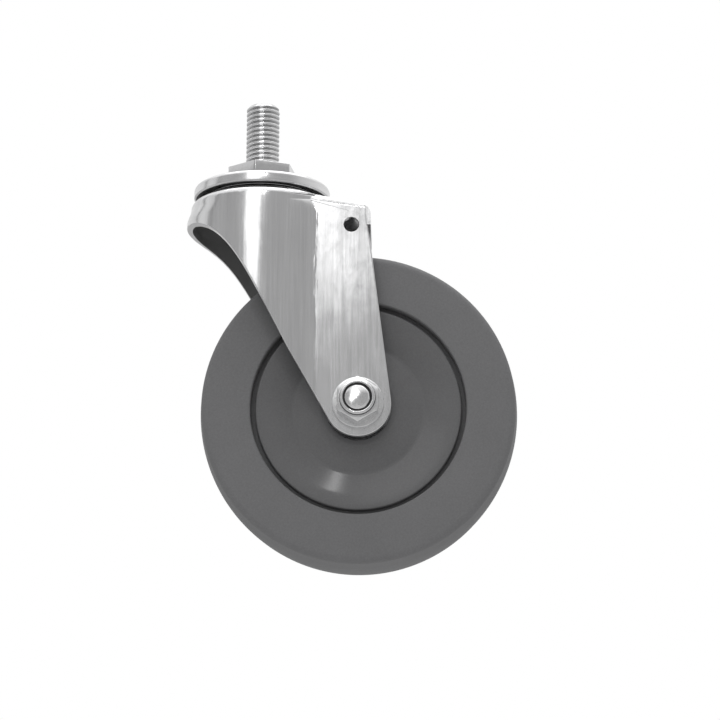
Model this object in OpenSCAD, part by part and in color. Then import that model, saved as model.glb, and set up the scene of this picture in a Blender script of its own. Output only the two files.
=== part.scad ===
// Swivel castor with a threaded stem, a pressed steel fork and a grey rubber wheel.
// The origin is on the stem's axis at the seat, the top face of the hexagon under the thread.
// +Z runs up the stem, and the wheel trails towards +X.

/* [Stem] */
// Major diameter of the stem's thread
stem_d = 13.7; // [10:0.1:14]
// Length of the stem above the seat
stem_len = 27.5; // [20:0.5:45]
// Chamfer at the stem's free end
stem_chamfer = 1.2; // [0.5:0.1:2]
// Width of the hexagon across its flats
hex_af = 25.5; // [22:0.5:28]
// Thickness of the hexagon
hex_t = 6.6; // [5:0.2:9]
// Turn of the hexagon about the stem
hex_turn = 22; // [0:1:60]
// Diameter of the kingpin below the hexagon
kingpin_d = 15.2; // [13:0.2:16]
// Diameter of the riveted head that closes the swivel
rivet_d = 18.6; // [17:0.2:22]
// Height of the riveted head
rivet_h = 3; // [2:0.2:4]

/* [Upper race cap] */
// Outer diameter of the cap
cap_d = 54; // [53:0.5:56]
// Height of the cap from its flat top to the lower edge of its rim
cap_h = 6.9; // [6.6:0.1:8]
// Drop of the cap's top from the hexagon to its shoulder
cap_fall = 2.6; // [1.5:0.1:3]
// Radius of the cap's outer shoulder
cap_shoulder = 2.4; // [1:0.1:2.6]
// Thickness of the cap's sheet under the hexagon
cap_sheet = 2.4; // [1.5:0.1:3]

/* [Swivel race] */
// Diameter of the upper balls
upper_ball_d = 6.35; // [5:0.05:6.4]
// Diameter of the circle that the upper balls run on
upper_circle_d = 39; // [38.5:0.1:40]
// Diameter of the lower balls
lower_ball_d = 4.76; // [4:0.02:5]
// Diameter of the circle that the lower balls run on
lower_circle_d = 24.4; // [24:0.1:25]
// Open gap between the cap's rim and the fork's crown
race_gap = 1.2; // [1:0.1:2.5]
// Clearance between a ball and its groove
race_play = 0.12; // [0.05:0.01:0.2]
// Clearance between neighbouring balls
ball_play = 0.25; // [0.1:0.05:0.6]
// Thickness of the lower race cup
cup_t = 3.8; // [3.6:0.1:5]

/* [Fork] */
// Thickness of the fork's sheet
sheet = 2.5; // [2:0.1:3]
// Outer radius of the drum just under its shoulder
drum_r = 29; // [28.5:0.1:31]
// How far the drum flares out below its shoulder
drum_flare = 1.6; // [0.8:0.1:2.5]
// Height over which the drum flares
flare_h = 6.3; // [5:0.1:9]
// Radius of the bend round the top of the fork
shoulder_r = 3.5; // [3:0.1:4.5]
// Angle at which the drum's sides run in to the legs
taper_angle = 25; // [25:0.5:27]
// Width across the outer faces of the legs
fork_w = 45; // [44:0.5:48]
// Slope of the fork's top behind the crown
back_slope = 8.5; // [7:0.5:11]
// Place along X where that slope starts
slope_start = 10; // [8:0.5:12]
// Outer radius of the raised crown that carries the balls
crown_r = 26; // [25.6:0.1:26.4]
// Height of the crown above the drum's shoulder
crown_step = 0.4; // [0.2:0.1:0.8]
// Radius of the rounded foot of each leg
leg_end_r = 13.2; // [12:0.1:16]
// Height of the drum's lower edge at the front
front_edge_z = -26; // [-29:0.1:-24]
// Place along X where the leg's front edge turns straight
front_straight_x = 2.4; // [1:0.1:5]
// Height where the leg's front edge turns straight
front_straight_z = -62.8; // [-66:0.2:-59]
// Place along X of the leg's back edge at its corner
back_corner_x = 45.4; // [44.5:0.1:46.5]
// Height of that corner
back_corner_z = -40.8; // [-46:0.2:-37]
// Place along X of the leg's back edge at the fork's top
back_top_x = 42.2; // [41.5:0.1:43]
// Place along X of the folded lip's outer face
lip_x = 45; // [44.5:0.1:46]
// Height of the folded lip's lower edge
lip_z = -28.8; // [-30:0.1:-27.4]
// Width of the folded lip
lip_w = 35; // [30:0.5:38]
// Outer radius of the lip's fold
lip_fold = 4; // [3:0.1:5]
// Diameter of the accessory hole through both legs
pin_hole_d = 6.1; // [4:0.1:7]
// Place of the accessory hole along X
pin_hole_x = 37.4; // [34:0.1:38.5]
// Height of the accessory hole
pin_hole_z = -30.4; // [-33:0.1:-29.5]

/* [Axle] */
// Distance of the wheel's axle behind the stem's axis
wheel_offset = 40.2; // [39:0.1:42]
// Depth of the axle below the seat
axle_drop = 104; // [102:0.1:106]
// Diameter of the axle bolt
axle_d = 10; // [8:0.1:10]
// Clearance of the axle bolt in the legs
axle_hole_play = 0.2; // [0.1:0.05:0.4]
// Clearance of the axle bolt in the bearings, the spacer and the bushes
axle_play = 0.04; // [0.02:0.01:0.08]
// Outer diameter of the axle washers
washer_d = 20.5; // [18:0.5:24]
// Thickness of the axle washers
washer_t = 2; // [1.5:0.1:2.5]
// Width across the flats of the bolt's head and nut
nut_af = 16; // [15:0.5:18]
// Height of the bolt's head
head_h = 6.4; // [5:0.1:8]
// Height of the nut's hexagon
nut_h = 6.4; // [5:0.1:8]
// Height of the round collar that holds the nut's insert
nut_collar_h = 2.9; // [2:0.1:3.5]
// Diameter of that collar
nut_collar_d = 14.4; // [13.5:0.1:15]
// How far the bolt's end stands out of the nut
bolt_proud = 0.6; // [0.2:0.1:3]
// Outer diameter of the bushes between the wheel and the legs
bush_d = 14; // [13:0.2:14.6]

/* [Bearings] */
// Outer diameter of each wheel bearing
bearing_d = 26; // [25.5:0.1:28]
// Width of each wheel bearing
bearing_w = 8; // [7.6:0.1:9]
// Diameter of the bearing's balls
bearing_ball_d = 4.76; // [4.5:0.02:4.8]
// Number of balls in each bearing
bearing_balls = 7; // [6:1:8]
// Wall of the inner ring beside its groove
inner_ring_t = 2.36; // [2.3:0.02:2.6]
// Wall of the outer ring beside its groove
outer_ring_t = 2.3; // [2.2:0.05:2.6]
// Thickness of the ball cage
cage_t = 1; // [0.8:0.1:1.2]
// Thickness of the bearing shields
shield_t = 0.5; // [0.3:0.05:0.6]

/* [Wheel] */
// Diameter of the wheel over its tread
wheel_d = 127; // [124:0.5:128]
// Width of the tyre
tyre_w = 32; // [30:0.5:34]
// Radius of the tread's crown across its width
tread_crown = 95; // [70:5:160]
// Radius of the tyre's shoulders
tyre_shoulder = 5.5; // [3:0.5:8]
// Radius of the tyre's inner edge, the outer wall of the groove
tyre_in_r = 42.9; // [41.5:0.1:45]
// Width of the groove between the tyre and the hub's face
groove_w = 1.9; // [1.2:0.1:3]
// Depth of the groove below the hub's face
groove_depth = 3.2; // [2:0.1:5]
// Width of the hub at its outer edge
hub_w = 27.4; // [26:0.2:29]
// Width of the hub across its bearing seats
boss_w = 28; // [27:0.2:29]
// Radius of the shallow valley in the hub's face
valley_r = 25.6; // [23:0.2:28]
// Depth of that valley below the hub's outer edge
valley_depth = 2.4; // [1:0.1:4]
// Radius of the flat round each bearing
boss_r = 15; // [14.5:0.1:18]
// Radius of the rib that keys the tyre to the hub
key_r = 47; // [46:0.2:50]
// Width of that rib
key_w = 10; // [8:0.5:14]

/* [Hidden] */
$fn = 96;

steel = [0.78, 0.78, 0.79];
bright_steel = [0.86, 0.86, 0.87];
dark_plastic = [0.16, 0.16, 0.17];
hub_grey = [0.37, 0.37, 0.38];
tyre_grey = [0.45, 0.45, 0.46];

// levels down the stem's axis
cap_top = -hex_t;
cap_rim_z = cap_top - cap_h;
crown_z = cap_rim_z - race_gap;
crown_under = crown_z - sheet;
deck_z = crown_z - crown_step;
upper_ball_z = crown_z + race_gap / 2;
groove_r = upper_ball_d / 2 + race_play;
lower_groove_r = lower_ball_d / 2 + race_play;
crown_web = 1.3;
lower_ball_z = crown_z - crown_web - lower_groove_r;
cup_top = lower_ball_z - lower_ball_d / 5;
cup_under = cup_top - cup_t;
kingpin_neck_d = kingpin_d - 3;
kingpin_play = 1.2;
race_land = 1.2;

// the fork's inside, a sheet's thickness within its outside
inside_w = fork_w - 2 * sheet;
inside_shoulder = shoulder_r - sheet;
fork_bottom = -axle_drop - leg_end_r - 5;
drum_arc_start = 90 - taper_angle;

// stations along the axle, from the wheel's middle outwards
leg_face = fork_w / 2;
leg_inside = inside_w / 2;
washer_face = leg_face + washer_t;
nut_face = washer_face + nut_h + nut_collar_h;
boss_face = boss_w / 2;
bearing_mid = boss_face - bearing_w / 2;
inner_ring_d = axle_d + 2 * axle_play + 2 * inner_ring_t;
outer_ring_d = bearing_d - 2 * outer_ring_t;
ball_pitch_r = (inner_ring_d + outer_ring_d) / 4;
bearing_groove_r = bearing_ball_d / 2 + 0.05;
shield_inset = 0.3;
shield_gap = 0.3;
hub_r = tyre_in_r - groove_w;

// Points of a cubic Bezier curve from a to d, pulled by b and c
function bezier(a, b, c, d, steps) = [
    for (i = [0:steps])
        let (t = i / steps, s = 1 - t)
            s * s * s * a + 3 * s * s * t * b + 3 * s * t * t * c + t * t * t * d
];

// Point where a line from p touches the circle of radius r round c, on its left or right
function tangent_point(p, c, r, side) =
    let (v = c - p, far = norm(v), reach = sqrt(far * far - r * r))
    let (along = v / far, across = [-along[1], along[0]] * side)
        p + along * (reach * reach / far) + across * (reach * r / far);

// The corner between a square edge and the arc that rounds it, pointing to +X and +Y
module corner_waste(r) {
    translate([-r, -r])
        difference() {
            square(r + 1);
            circle(r);
        }
}

// Places its children at the axle, with local +Z towards the near side, -Y
module at_axle() {
    translate([wheel_offset, 0, -axle_drop])
        rotate([90, 0, 0])
            children();
}

// A plain ring round the local Z axis, from z0 up to z1
module ring(r_out, r_in, z0, z1) {
    translate([0, 0, z0])
        difference() {
            cylinder(h = z1 - z0, r = r_out);
            translate([0, 0, -1])
                cylinder(h = z1 - z0 + 2, r = r_in);
        }
}

// A full row of balls round the Z axis
module ball_row(count, circle_r, ball_r) {
    for (i = [0:count - 1])
        rotate([0, 0, (i + 0.5) * 360 / count])
            translate([circle_r, 0, 0])
                sphere(ball_r);
}

// How many balls of diameter d fill a circle of diameter circle_d
function full_row(circle_d, d) = floor(180 / asin((d + ball_play) / circle_d));

// Stud, hexagon and kingpin are one forging, riveted over below the lower race
module threaded_stem() {
    color(steel) {
        rotate_extrude()
            polygon([
                [0, stem_len],
                [stem_d / 2 - stem_chamfer, stem_len],
                [stem_d / 2, stem_len - stem_chamfer],
                [stem_d / 2, -hex_t / 2],
                [kingpin_d / 2, -hex_t / 2],
                [kingpin_d / 2, cup_top],
                [kingpin_neck_d / 2, cup_top],
                [kingpin_neck_d / 2, cup_under],
                [rivet_d / 2, cup_under],
                [rivet_d / 2, cup_under - rivet_h * 0.4],
                [rivet_d / 2 - rivet_h * 0.6, cup_under - rivet_h],
                [0, cup_under - rivet_h]
            ]);
        rotate([0, 0, hex_turn])
            translate([0, 0, cap_top])
                cylinder(h = hex_t, d = hex_af / cos(30), $fn = 6);
    }
}

// Outline of the cap's half section, before its ball groove is cut
module cap_section() {
    cap_r = cap_d / 2;
    shoulder_z = cap_top - cap_fall;
    land_in = upper_circle_d / 2 - groove_r - race_land;
    land_out = upper_circle_d / 2 + groove_r + race_land / 2;
    land_z = upper_ball_z + race_gap / 2 + race_land / 2;
    difference() {
        polygon([
            [kingpin_d / 2, cap_top],
            [hex_af / 2 + 2, cap_top],
            [cap_r - cap_shoulder, shoulder_z],
            [cap_r, shoulder_z],
            [cap_r, cap_rim_z + 0.6],
            [cap_r - 0.6, cap_rim_z],
            [cap_r - 2, cap_rim_z],
            [land_out, land_z],
            [land_in, land_z],
            [land_in - 1.6, cap_top - cap_sheet],
            [kingpin_d / 2, cap_top - cap_sheet]
        ]);
        translate([cap_r, shoulder_z])
            corner_waste(cap_shoulder);
    }
}

module upper_race_cap() {
    color(bright_steel)
        rotate_extrude()
            difference() {
                cap_section();
                translate([upper_circle_d / 2, upper_ball_z])
                    circle(groove_r);
            }
}

module upper_race_balls() {
    color(bright_steel)
        translate([0, 0, upper_ball_z])
            ball_row(full_row(upper_circle_d, upper_ball_d), upper_circle_d / 2, upper_ball_d / 2);
}

module lower_race_balls() {
    color(bright_steel)
        translate([0, 0, lower_ball_z])
            ball_row(full_row(lower_circle_d, lower_ball_d), lower_circle_d / 2, lower_ball_d / 2);
}

module lower_race_cup() {
    cup_r = lower_circle_d / 2 + lower_groove_r + race_land;
    color(steel)
        rotate_extrude()
            difference() {
                polygon([
                    [kingpin_neck_d / 2, cup_top],
                    [cup_r, cup_top],
                    [cup_r, cup_under + 1.2],
                    [cup_r - 1.2, cup_under],
                    [kingpin_neck_d / 2, cup_under]
                ]);
                translate([lower_circle_d / 2, lower_ball_z])
                    circle(lower_groove_r);
            }
}

// Half section of the drum from the axis to its wall, with the bend and the flare
module drum_section(inset) {
    r = drum_r - inset;
    top = deck_z - inset;
    bend = shoulder_r - inset;
    wall_z = deck_z - shoulder_r;
    steps = 6;
    difference() {
        polygon(concat(
            [[0, fork_bottom], [0, top], [r, top], [r, wall_z]],
            [
                for (i = [1:steps])
                    [r + drum_flare * (1 - cos(180 * i / steps)) / 2, wall_z - flare_h * i / steps]
            ],
            [[r + drum_flare, fork_bottom]]
        ));
        translate([r, top])
            corner_waste(bend);
    }
}

// Cross section of the part of the fork that carries the legs, looking along X
module leg_section(inset) {
    half = fork_w / 2 - inset;
    difference() {
        translate([-half, fork_bottom])
            square([2 * half, -fork_bottom]);
        for (side = [0, 1])
            mirror([side, 0])
                translate([half, 0])
                    corner_waste(shoulder_r - inset);
    }
}

// The wedge above the sloping top, behind the crown
module above_slope(inset) {
    translate([slope_start, 0, deck_z - inset / cos(back_slope)])
        rotate([0, back_slope, 0])
            translate([0, -50, 0])
                cube([80, 100, 40]);
}

// The solid block that the sheet wraps, outside with inset 0 and inside with the sheet as inset
module fork_form(inset) {
    difference() {
        union() {
            rotate([0, 0, drum_arc_start])
                rotate_extrude(angle = 360 - 2 * drum_arc_start)
                    drum_section(inset);
            for (side = [0, 1])
                mirror([0, side, 0])
                    rotate([0, 0, drum_arc_start - 90])
                        rotate([90, 0, 90])
                            linear_extrude(16)
                                drum_section(inset);
        }
        above_slope(inset);
    }
    translate([slope_start, 0, deck_z - inset / cos(back_slope)])
        rotate([0, back_slope, 0])
            rotate([90, 0, 90])
                linear_extrude(70)
                    leg_section(inset);
    translate([0, 0, fork_bottom])
        cylinder(h = crown_z - inset - fork_bottom, r = crown_r - inset);
}

// Side view of the legs and the drum, with X across and Z up
module side_outline() {
    foot = [wheel_offset, -axle_drop];
    front_a = [-drum_r - drum_flare - 2, front_edge_z];
    front_b = [front_straight_x, front_straight_z];
    front_c = tangent_point(front_b, foot, leg_end_r, -1);
    heading = (front_c - front_b) / norm(front_c - front_b);
    back_b = [back_corner_x, back_corner_z];
    back_c = tangent_point(back_b, foot, leg_end_r, 1);
    back_a = [back_top_x, crown_z];
    union() {
        polygon(concat(
            [[front_a[0], 0]],
            bezier(front_a, front_a + [15, -1.5], front_b - heading * 21, front_b, 14),
            [front_c, foot, back_c],
            bezier(back_b, back_b + [-0.9, 7], back_a + [0.4, -12], back_a, 8),
            [[back_a[0], 0]]
        ));
        translate(foot)
            circle(leg_end_r);
    }
}

// Folded lip that closes the back of the fork above the wheel
module back_lip() {
    plate_x = pin_hole_x - 1;
    plate_z = deck_z - (plate_x - slope_start) * tan(back_slope);
    top_z = deck_z - (lip_x - slope_start) * tan(back_slope);
    rotate([90, 0, 0])
        translate([0, 0, -lip_w / 2])
            linear_extrude(lip_w)
                difference() {
                    polygon([
                        [plate_x, plate_z],
                        [lip_x, top_z],
                        [lip_x, lip_z],
                        [lip_x - sheet, lip_z],
                        [lip_x - sheet, top_z - sheet],
                        [plate_x, plate_z - sheet]
                    ]);
                    translate([lip_x, top_z])
                        corner_waste(lip_fold);
                }
}

// Pressed ring under the crown, which follows the groove of the upper balls
module race_rib() {
    rotate_extrude()
        intersection() {
            translate([upper_circle_d / 2, upper_ball_z])
                circle(groove_r + sheet * 0.9);
            translate([0, crown_z - 20])
                square([crown_r, 20 - sheet / 2]);
        }
}

// Both ball grooves and the kingpin's hole in the crown
module crown_cuts() {
    rotate_extrude()
        translate([upper_circle_d / 2, upper_ball_z])
            circle(groove_r);
    rotate_extrude()
        translate([lower_circle_d / 2, lower_ball_z])
            circle(lower_groove_r);
    translate([0, 0, crown_under - sheet])
        cylinder(h = 3 * sheet, d = kingpin_d + 2 * kingpin_play);
}

// One pressed sheet: crown, drum, two legs and the folded lip
module fork() {
    color(steel)
        difference() {
            union() {
                intersection() {
                    difference() {
                        fork_form(0);
                        fork_form(sheet);
                    }
                    translate([0, fork_w, 0])
                        rotate([90, 0, 0])
                            linear_extrude(2 * fork_w)
                                side_outline();
                }
                race_rib();
                back_lip();
            }
            crown_cuts();
            at_axle()
                cylinder(h = 2 * fork_w, d = axle_d + 2 * axle_hole_play, center = true);
            translate([pin_hole_x, 0, pin_hole_z])
                rotate([90, 0, 0])
                    cylinder(h = 2 * fork_w, d = pin_hole_d, center = true);
        }
}

// Hexagon with its corners turned off at the end that faces +Z
module turned_hex(af, h) {
    intersection() {
        cylinder(h = h, d = af / cos(30), $fn = 6);
        rotate_extrude()
            polygon([
                [0, 0],
                [af / cos(30) / 2 + 1, 0],
                [af / cos(30) / 2 + 1, h - 1.6],
                [af * 0.475, h],
                [0, h]
            ]);
    }
}

module axle_bolt() {
    color(bright_steel)
        at_axle() {
            mirror([0, 0, 1])
                translate([0, 0, washer_face])
                    turned_hex(nut_af, head_h);
            translate([0, 0, -washer_face - 1])
                cylinder(h = washer_face + 1 + nut_face + bolt_proud - 0.8, d = axle_d);
            translate([0, 0, nut_face + bolt_proud - 0.8])
                cylinder(h = 0.8, d1 = axle_d, d2 = axle_d - 1.6);
        }
}

module axle_washers() {
    color(steel)
        at_axle()
            for (side = [0, 1])
                mirror([0, 0, side])
                    ring(washer_d / 2, axle_d / 2 + axle_hole_play, leg_face, washer_face);
}

module axle_nut() {
    collar_z = washer_face + nut_h;
    color(bright_steel)
        at_axle()
            difference() {
                union() {
                    translate([0, 0, washer_face])
                        rotate([0, 0, 30])
                            turned_hex(nut_af, nut_h);
                    translate([0, 0, collar_z - 1])
                        cylinder(h = nut_collar_h + 1, d = nut_collar_d);
                }
                cylinder(h = 100, d = axle_d + 2 * axle_play);
                translate([0, 0, collar_z])
                    cylinder(h = 100, d = axle_d + 2.4);
            }
}

module nut_insert() {
    color(dark_plastic)
        at_axle()
            ring(axle_d / 2 + 1.2, axle_d / 2 + axle_play, washer_face + nut_h, nut_face - 0.7);
}

module bearing_spacer() {
    color(steel)
        at_axle()
            ring(
                bush_d / 2, axle_d / 2 + axle_play, -boss_face + bearing_w, boss_face - bearing_w
            );
}

module side_bushes() {
    color(steel)
        at_axle()
            for (side = [0, 1])
                mirror([0, 0, side])
                    ring(bush_d / 2, axle_d / 2 + axle_play, boss_face, leg_inside);
}

// A bearing ring with its ball groove, centred on the local origin
module grooved_ring(r_out, r_in) {
    rotate_extrude()
        difference() {
            translate([r_in, -bearing_w / 2])
                square([r_out - r_in, bearing_w]);
            translate([ball_pitch_r, 0])
                circle(bearing_groove_r);
        }
}

// Puts its children in the middle of the near bearing, 1, or the far one, -1
module at_bearing(side) {
    at_axle()
        translate([0, 0, side * bearing_mid])
            children();
}

module inner_ring(side) {
    color(bright_steel)
        at_bearing(side)
            grooved_ring(inner_ring_d / 2, axle_d / 2 + axle_play);
}

module outer_ring(side) {
    color(bright_steel)
        at_bearing(side)
            grooved_ring(bearing_d / 2, outer_ring_d / 2);
}

module bearing_ball_set(side) {
    color(bright_steel)
        at_bearing(side)
            ball_row(bearing_balls, ball_pitch_r, bearing_ball_d / 2);
}

module ball_cage(side) {
    rail = 0.5;
    half = bearing_groove_r + rail;
    color([0.72, 0.68, 0.55])
        at_bearing(side)
            difference() {
                ring(ball_pitch_r + cage_t / 2, ball_pitch_r - cage_t / 2, -half, half);
                for (i = [0:bearing_balls - 1])
                    rotate([0, 90, (i + 0.5) * 360 / bearing_balls])
                        cylinder(h = 2 * ball_pitch_r, r = bearing_groove_r);
            }
}

// Two thin shields close each bearing, held by its outer ring
module shields(side) {
    outer = bearing_w / 2 - shield_inset;
    color(steel)
        at_bearing(side)
            for (end = [0, 1])
                mirror([0, 0, end])
                    ring(
                        outer_ring_d / 2, inner_ring_d / 2 + shield_gap, outer - shield_t, outer
                    );
}

// Half section of the hub above its middle plane, with the radius across
module hub_section() {
    edge = hub_w / 2;
    floor_z = edge - groove_depth;
    lip = 0.7;
    polygon([
        [bush_d / 2 + 1.5, 0],
        [bush_d / 2 + 1.5, boss_face - bearing_w],
        [bearing_d / 2, boss_face - bearing_w],
        [bearing_d / 2, boss_face],
        [boss_r, boss_face],
        [valley_r, edge - valley_depth],
        [hub_r - lip, edge],
        [hub_r, edge - lip / 2],
        [hub_r, floor_z],
        [tyre_in_r, floor_z],
        [tyre_in_r, key_w / 2],
        [key_r, key_w / 2 - 1],
        [key_r, 0]
    ]);
}

module wheel_hub() {
    color(hub_grey)
        at_axle()
            for (side = [0, 1])
                mirror([0, 0, side])
                    rotate_extrude()
                        hub_section();
}

// Section of the tyre: flat sides, round shoulders and a slightly crowned tread
module tyre_section() {
    r = wheel_d / 2;
    half = tyre_w / 2;
    edge_drop = tread_crown - sqrt(tread_crown * tread_crown - half * half);
    difference() {
        intersection() {
            translate([tyre_in_r, -half])
                square([r - tyre_in_r, tyre_w]);
            translate([r - tread_crown, 0])
                circle(tread_crown, $fn = 360);
        }
        polygon([
            [tyre_in_r - 1, -key_w / 2],
            [tyre_in_r, -key_w / 2],
            [key_r, -key_w / 2 + 1],
            [key_r, key_w / 2 - 1],
            [tyre_in_r, key_w / 2],
            [tyre_in_r - 1, key_w / 2]
        ]);
        for (side = [0, 1])
            mirror([0, side])
                translate([r - edge_drop, half])
                    corner_waste(tyre_shoulder);
    }
}

module tyre() {
    color(tyre_grey)
        at_axle()
            rotate_extrude()
                tyre_section();
}

threaded_stem();
upper_race_cap();
lower_race_cup();
upper_race_balls();
lower_race_balls();
fork();
axle_bolt();
axle_washers();
axle_nut();
nut_insert();
bearing_spacer();
side_bushes();
inner_ring(1);  // inner_ring_near
inner_ring(-1);  // inner_ring_far
outer_ring(1);  // outer_ring_near
outer_ring(-1);  // outer_ring_far
bearing_ball_set(1);  // bearing_balls_near
bearing_ball_set(-1);  // bearing_balls_far
ball_cage(1);  // ball_cage_near
ball_cage(-1);  // ball_cage_far
shields(1);  // shields_near
shields(-1);  // shields_far
wheel_hub();
tyre();
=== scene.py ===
import bmesh
import bpy
import math
from mathutils import Matrix, Vector
from mathutils.bvhtree import BVHTree


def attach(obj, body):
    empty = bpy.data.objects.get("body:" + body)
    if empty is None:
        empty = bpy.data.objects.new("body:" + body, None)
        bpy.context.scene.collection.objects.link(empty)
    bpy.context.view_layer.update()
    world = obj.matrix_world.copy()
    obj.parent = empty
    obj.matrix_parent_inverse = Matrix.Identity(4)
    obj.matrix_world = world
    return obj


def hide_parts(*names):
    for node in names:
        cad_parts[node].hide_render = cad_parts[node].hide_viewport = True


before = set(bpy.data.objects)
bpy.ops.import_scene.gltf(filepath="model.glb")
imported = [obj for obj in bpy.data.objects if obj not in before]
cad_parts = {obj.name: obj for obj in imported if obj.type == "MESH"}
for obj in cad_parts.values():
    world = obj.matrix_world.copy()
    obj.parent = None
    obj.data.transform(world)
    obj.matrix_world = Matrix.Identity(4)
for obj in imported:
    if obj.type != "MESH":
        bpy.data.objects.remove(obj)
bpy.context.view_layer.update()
print("frame loaded:", len(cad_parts), "CAD nodes")

# lengths in the dictionaries are millimetres, and angles are degrees
mm = 0.001
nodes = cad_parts
wheelCentre = Vector((40.2, 0.0, -104.0)) * mm

# vertices closer than this many metres become one
weld = {"ring": 1e-7, "thread": 1e-6, "threadRim": 4e-6, "fork": 2e-6}
# an edge that turns by more degrees than this is drawn sharp
sharpFrom = {"piece": 32, "thread": 60}


def shadeSmooth(mesh, angle):
    mesh.shade_smooth()
    mesh.set_sharp_from_angle(angle=math.radians(angle))


def addObject(name, mesh, finish, sharpAngle=sharpFrom["piece"]):
    piece = bpy.data.objects.new(name, mesh)
    bpy.context.scene.collection.objects.link(piece)
    mesh.materials.clear()
    mesh.materials.append(finish)
    shadeSmooth(mesh, sharpAngle)
    return piece


def fitPiece(piece, body, slot, *replaced):
    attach(piece, body)
    if replaced:
        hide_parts(*replaced)


def bakeModifiers(piece):
    graph = bpy.context.evaluated_depsgraph_get()
    made = bpy.data.meshes.new_from_object(piece.evaluated_get(graph))
    piece.modifiers.clear()
    piece.data = made
    return made


def roundCorners(corners, closed=True, steps=6):
    # corners are (radius, height, fillet), and each fillet becomes a short arc
    sideShare = 0.49  # of the shorter side, so that two fillets never meet
    points = []
    count = len(corners)
    for i, (x, z, fillet) in enumerate(corners):
        here = Vector((x, z))
        isEnd = not closed and i in (0, count - 1)
        if fillet <= 0 or isEnd:
            points.append(here)
            continue
        before = Vector(corners[i - 1][:2]) - here
        after = Vector(corners[(i + 1) % count][:2]) - here
        half = before.angle(after) / 2
        reach = fillet / math.tan(half)
        limit = sideShare * min(before.length, after.length)
        if reach > limit:
            fillet *= limit / reach
            reach = limit
        before.normalize()
        after.normalize()
        centre = here + (before + after).normalized() * (fillet / math.sin(half))
        a = here + before * reach - centre
        b = here + after * reach - centre
        sweep = a.angle_signed(b)
        for k in range(steps + 1):
            t = -sweep * k / steps
            points.append(centre + Vector((
                a.x * math.cos(t) - a.y * math.sin(t), a.x * math.sin(t) + a.y * math.cos(t))))
    return points


def skinRings(name, work, rings, closed=True):
    # joins each ring of vertices to the next one, and a ring may be a single point
    pairs = list(zip(rings, rings[1:]))
    if closed:
        pairs.append((rings[-1], rings[0]))
    for low, high in pairs:
        count = max(len(low), len(high))
        if count == 1:
            continue
        for k in range(count):
            n = (k + 1) % count
            if len(low) == 1:
                work.faces.new((low[0], high[n], high[k]))
            elif len(high) == 1:
                work.faces.new((low[k], low[n], high[0]))
            else:
                work.faces.new((low[k], low[n], high[n], high[k]))
    bmesh.ops.remove_doubles(work, verts=work.verts, dist=weld["ring"])
    bmesh.ops.recalc_face_normals(work, faces=work.faces)
    mesh = bpy.data.meshes.new(name)
    work.to_mesh(mesh)
    work.free()
    return mesh


def latheMesh(name, points, segments, closed=True):
    # turns a half section of (radius, height) points round the local Z axis
    onAxis = 1e-6
    angles = [2 * math.pi * k / segments for k in range(segments)]
    work = bmesh.new()
    rings = []
    for p in points:
        if p.x < onAxis:
            rings.append([work.verts.new((0, 0, p.y * mm))])
            continue
        rings.append([
            work.verts.new((p.x * mm * math.cos(a), p.x * mm * math.sin(a), p.y * mm))
            for a in angles])
    return skinRings(name, work, rings, closed)


def toAxle(mesh):
    # local +Z goes to the near side, -Y, where the bolt's end is
    mesh.transform(Matrix.Translation(wheelCentre) @ Matrix.Rotation(math.radians(90), 4, "X"))
    return mesh


hexForm = {"steps": 16, "faceShare": 0.475, "chamfer": 30, "lowEdge": 0.25,
           "bevelAngle": 30, "bevelSegments": 3}


def hexMesh(name, flats, low, high, bore, turn, chamferTop=True):
    # a cone takes the top corners off, which leaves a curved edge on each flat
    work = bmesh.new()
    count = 6 * hexForm["steps"]
    sixth = math.pi / 3
    faceRadius = hexForm["faceShare"] * flats
    slope = math.tan(math.radians(hexForm["chamfer"])) if chamferTop else 0.0
    angles = [2 * math.pi * k / count for k in range(count)]
    reach = [flats / 2 / math.cos(a % sixth - sixth / 2) for a in angles]
    start = math.radians(turn)

    def ring(radii, heights):
        return [work.verts.new((
            r * mm * math.cos(a + start), r * mm * math.sin(a + start), z * mm))
            for r, z, a in zip(radii, heights, angles)]

    return skinRings(name, work, [
        ring([bore] * count, [low] * count),
        ring([r - hexForm["lowEdge"] for r in reach], [low] * count),
        ring(reach, [low + hexForm["lowEdge"]] * count),
        ring(reach, [high - max(0.0, r - faceRadius) * slope for r in reach]),
        ring([faceRadius] * count, [high] * count),
        ring([bore] * count, [high] * count)])


def bevelHexagon(piece, width):
    bevel = piece.modifiers.new("edgeRound", "BEVEL")
    bevel.width = width * mm
    bevel.segments = hexForm["bevelSegments"]
    bevel.limit_method = "ANGLE"
    bevel.angle_limit = math.radians(hexForm["bevelAngle"])
    bevel.use_clamp_overlap = True
    shadeSmooth(bakeModifiers(piece), sharpFrom["piece"])


def newMaterial(name, metallic, roughness, gloss=0.5):
    made = bpy.data.materials.new(name)
    made.use_nodes = True
    shader = made.node_tree.nodes["Principled BSDF"]
    shader.inputs["Metallic"].default_value = metallic
    shader.inputs["Roughness"].default_value = roughness
    shader.inputs["Specular IOR Level"].default_value = gloss
    return made, made.node_tree, shader


def objectCoords(tree, scale=(1, 1, 1), move=(0, 0, 0)):
    coords = tree.nodes.new("ShaderNodeTexCoord")
    mapping = tree.nodes.new("ShaderNodeMapping")
    mapping.inputs["Location"].default_value = move
    mapping.inputs["Scale"].default_value = scale
    tree.links.new(coords.outputs["Object"], mapping.inputs["Vector"])
    return mapping.outputs["Vector"]


def noise(tree, scale, detail, roughness, move=(0, 0, 0)):
    node = tree.nodes.new("ShaderNodeTexNoise")
    node.inputs["Scale"].default_value = 1.0
    node.inputs["Detail"].default_value = detail
    node.inputs["Roughness"].default_value = roughness
    tree.links.new(objectCoords(tree, scale, move), node.inputs["Vector"])
    return node.outputs["Fac"]


# a noise stays near its middle, mostly inside this range
noiseRange = (0.3, 0.7)


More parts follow.
